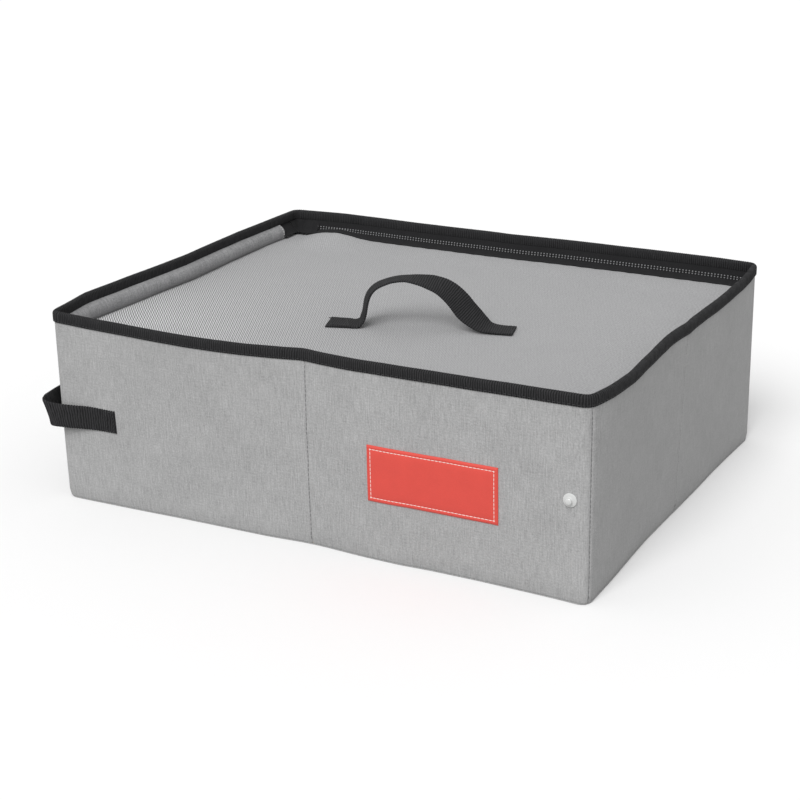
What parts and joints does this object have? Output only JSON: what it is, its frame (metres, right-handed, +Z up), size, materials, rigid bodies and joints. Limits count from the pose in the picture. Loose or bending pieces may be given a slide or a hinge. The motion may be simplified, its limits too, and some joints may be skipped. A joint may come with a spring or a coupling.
{
  "type": "foldable litter box",
  "caption": "Low fabric litter box with stiffening boards, a sunken zipped lid with a webbing handle, a strap with a snap, and walls that fold in flat.",
  "frame": {"origin": "middle of the base's underside", "axes": "+Z up, +X along the long walls to the end away from the lid's hinge, front wall with the label at -Y"},
  "size_m": [0.4181, 0.3221, 0.1545],
  "materials": {
    "cover_cloth": "matt grey coated Oxford cloth",
    "lid_cloth": "matt grey Oxford cloth",
    "webbing": "black ribbed webbing",
    "zip_tape": "black zip tape with nylon coil",
    "board": "plain stiffening board",
    "liner": "waterproof grey film",
    "label": "red leatherette",
    "snap": "milky white plastic",
    "zip_slider": "black painted zinc"
  },
  "bodies": {
    "back_wall": {"cover_back": "cover_cloth", "board_back_left": "board", "board_back_right": "board", "liner_back": "liner", "binding_back": "webbing", "zip_tape_back": "zip_tape", "base_cover": "cover_cloth", "floor_liner": "liner"},
    "left_wall_rear": {"cover_left_rear": "cover_cloth", "board_left_rear": "board", "liner_left_rear": "liner", "binding_left_rear": "webbing"},
    "left_wall_front": {"cover_left_front": "cover_cloth", "board_left_front": "board", "liner_left_front": "liner", "binding_left_front": "webbing"},
    "right_wall_rear": {"cover_right_rear": "cover_cloth", "board_right_rear": "board", "liner_right_rear": "liner", "binding_right_rear": "webbing", "zip_tape_right_rear": "zip_tape"},
    "right_wall_front": {"cover_right_front": "cover_cloth", "board_right_front": "board", "liner_right_front": "liner", "binding_right_front": "webbing", "zip_tape_right_front": "zip_tape"},
    "front_wall": {"cover_front": "cover_cloth", "board_front_left": "board", "board_front_right": "board", "liner_front": "liner", "binding_front": "webbing", "zip_tape_front": "zip_tape", "label": "label", "snap_stud": "snap", "snap_stud_cap": "snap", "strap_patch": "webbing"},
    "base_board_rear": {"base_board_rear": "board"},
    "base_board_front": {"base_board_front": "board"},
    "lid": {"lid_cover": "lid_cloth", "lid_hinge_strip": "lid_cloth", "zip_tape_lid_right": "zip_tape", "zip_tape_lid_back": "zip_tape"},
    "lid_rear": {"lid_board_rear": "board"},
    "lid_front": {"lid_board_front": "board", "handle_tab_left": "webbing", "handle_tab_right": "webbing"},
    "lid_zip_front": {"zip_tape_lid_front": "zip_tape"},
    "handle": {"lid_handle": "webbing"},
    "zip_slider": {"zip_slider": "zip_slider"},
    "zip_pull": {"zip_pull": "zip_slider"},
    "strap": {"strap_run": "webbing"},
    "strap_end": {"strap_tail": "webbing", "snap_socket": "snap", "snap_socket_cap": "snap"}
  },
  "joints": [
    {"name": "wall_fold", "type": "hinge", "parent": "back_wall", "child": "left_wall_rear", "pos_m": [-0.1926, 0.1445, 0], "axis": [0, 0, -1], "range_deg": [-86, 0], "deforming": ["base_cover", "floor_liner", "lid_cover", "lid_hinge_strip", "zip_tape_lid_right"]},
    {"name": "left_mid_fold", "type": "hinge", "parent": "left_wall_rear", "child": "left_wall_front", "pos_m": [-0.2016, 0, 0], "axis": [0, 0, -1], "range_deg": [0, 172]},
    {"name": "front_left_corner", "type": "hinge", "parent": "left_wall_front", "child": "front_wall", "pos_m": [-0.1926, -0.1445, 0], "axis": [0, 0, -1], "range_deg": [-86, 0]},
    {"name": "right_rear_corner", "type": "hinge", "parent": "back_wall", "child": "right_wall_rear", "pos_m": [0.1926, 0.1445, 0], "axis": [0, 0, 1], "range_deg": [-86, 0]},
    {"name": "right_mid_fold", "type": "hinge", "parent": "right_wall_rear", "child": "right_wall_front", "pos_m": [0.2016, 0, 0], "axis": [0, 0, 1], "range_deg": [0, 172]},
    {"name": "base_rear_fold", "type": "hinge", "parent": "back_wall", "child": "base_board_rear", "pos_m": [0, 0.1521, 0.0035], "axis": [1, 0, 0], "range_deg": [-86, 0]},
    {"name": "base_front_fold", "type": "hinge", "parent": "front_wall", "child": "base_board_front", "pos_m": [0, -0.1521, 0.0035], "axis": [-1, 0, 0], "range_deg": [-86, 0]},
    {"name": "lid_open", "type": "hinge", "parent": "back_wall", "child": "lid", "pos_m": [-0.1938, 0, 0.129], "axis": [0, -1, 0], "range_deg": [0, 180]},
    {"name": "lid_rear_fold", "type": "hinge", "parent": "lid", "child": "lid_rear", "pos_m": [0, 0.1445, 0.1151], "axis": [1, 0, 0], "range_deg": [-86, 0]},
    {"name": "lid_crease", "type": "hinge", "parent": "lid_rear", "child": "lid_front", "pos_m": [0, 0, 0.1061], "axis": [1, 0, 0], "range_deg": [0, 172]},
    {"name": "lid_front_fold", "type": "hinge", "parent": "lid_front", "child": "lid_zip_front", "pos_m": [0, -0.1445, 0.1151], "axis": [1, 0, 0], "range_deg": [-86, 0]},
    {"name": "handle_swing", "type": "hinge", "parent": "lid_front", "child": "handle", "pos_m": [0.023, -0.035, 0.1297], "axis": [0.9646, 0.2639, 0], "range_deg": [-75, 75], "deforming": ["handle_tab_left", "handle_tab_right"]},
    {"name": "zip_slide", "type": "slide", "parent": "front_wall", "child": "zip_slider", "axis": [1, 0, 0], "range_m": [0, 0.338]},
    {"name": "zip_pull_swing", "type": "hinge", "parent": "zip_slider", "child": "zip_pull", "pos_m": [-0.177, -0.1458, 0.125], "axis": [0, 0, -1], "range_deg": [0, 180]},
    {"name": "strap_swing", "type": "hinge", "parent": "front_wall", "child": "strap", "pos_m": [-0.1578, -0.15885, 0.064], "axis": [0, 0, 1], "range_deg": [0, 150]},
    {"name": "strap_unfold", "type": "hinge", "parent": "strap", "child": "strap_end", "pos_m": [-0.2085, -0.161, 0.064], "axis": [0, 0, 1], "range_deg": [0, 90]}
  ],
  "couplings": [
    {"joint": "left_mid_fold", "follows": "wall_fold", "ratio": -2},
    {"joint": "front_left_corner", "follows": "wall_fold", "ratio": 1},
    {"joint": "right_rear_corner", "follows": "wall_fold", "ratio": 1},
    {"joint": "right_mid_fold", "follows": "wall_fold", "ratio": -2},
    {"joint": "base_rear_fold", "follows": "wall_fold", "ratio": 1},
    {"joint": "base_front_fold", "follows": "wall_fold", "ratio": 1},
    {"joint": "lid_rear_fold", "follows": "wall_fold", "ratio": 1},
    {"joint": "lid_crease", "follows": "wall_fold", "ratio": -2},
    {"joint": "lid_front_fold", "follows": "wall_fold", "ratio": 1}
  ]
}
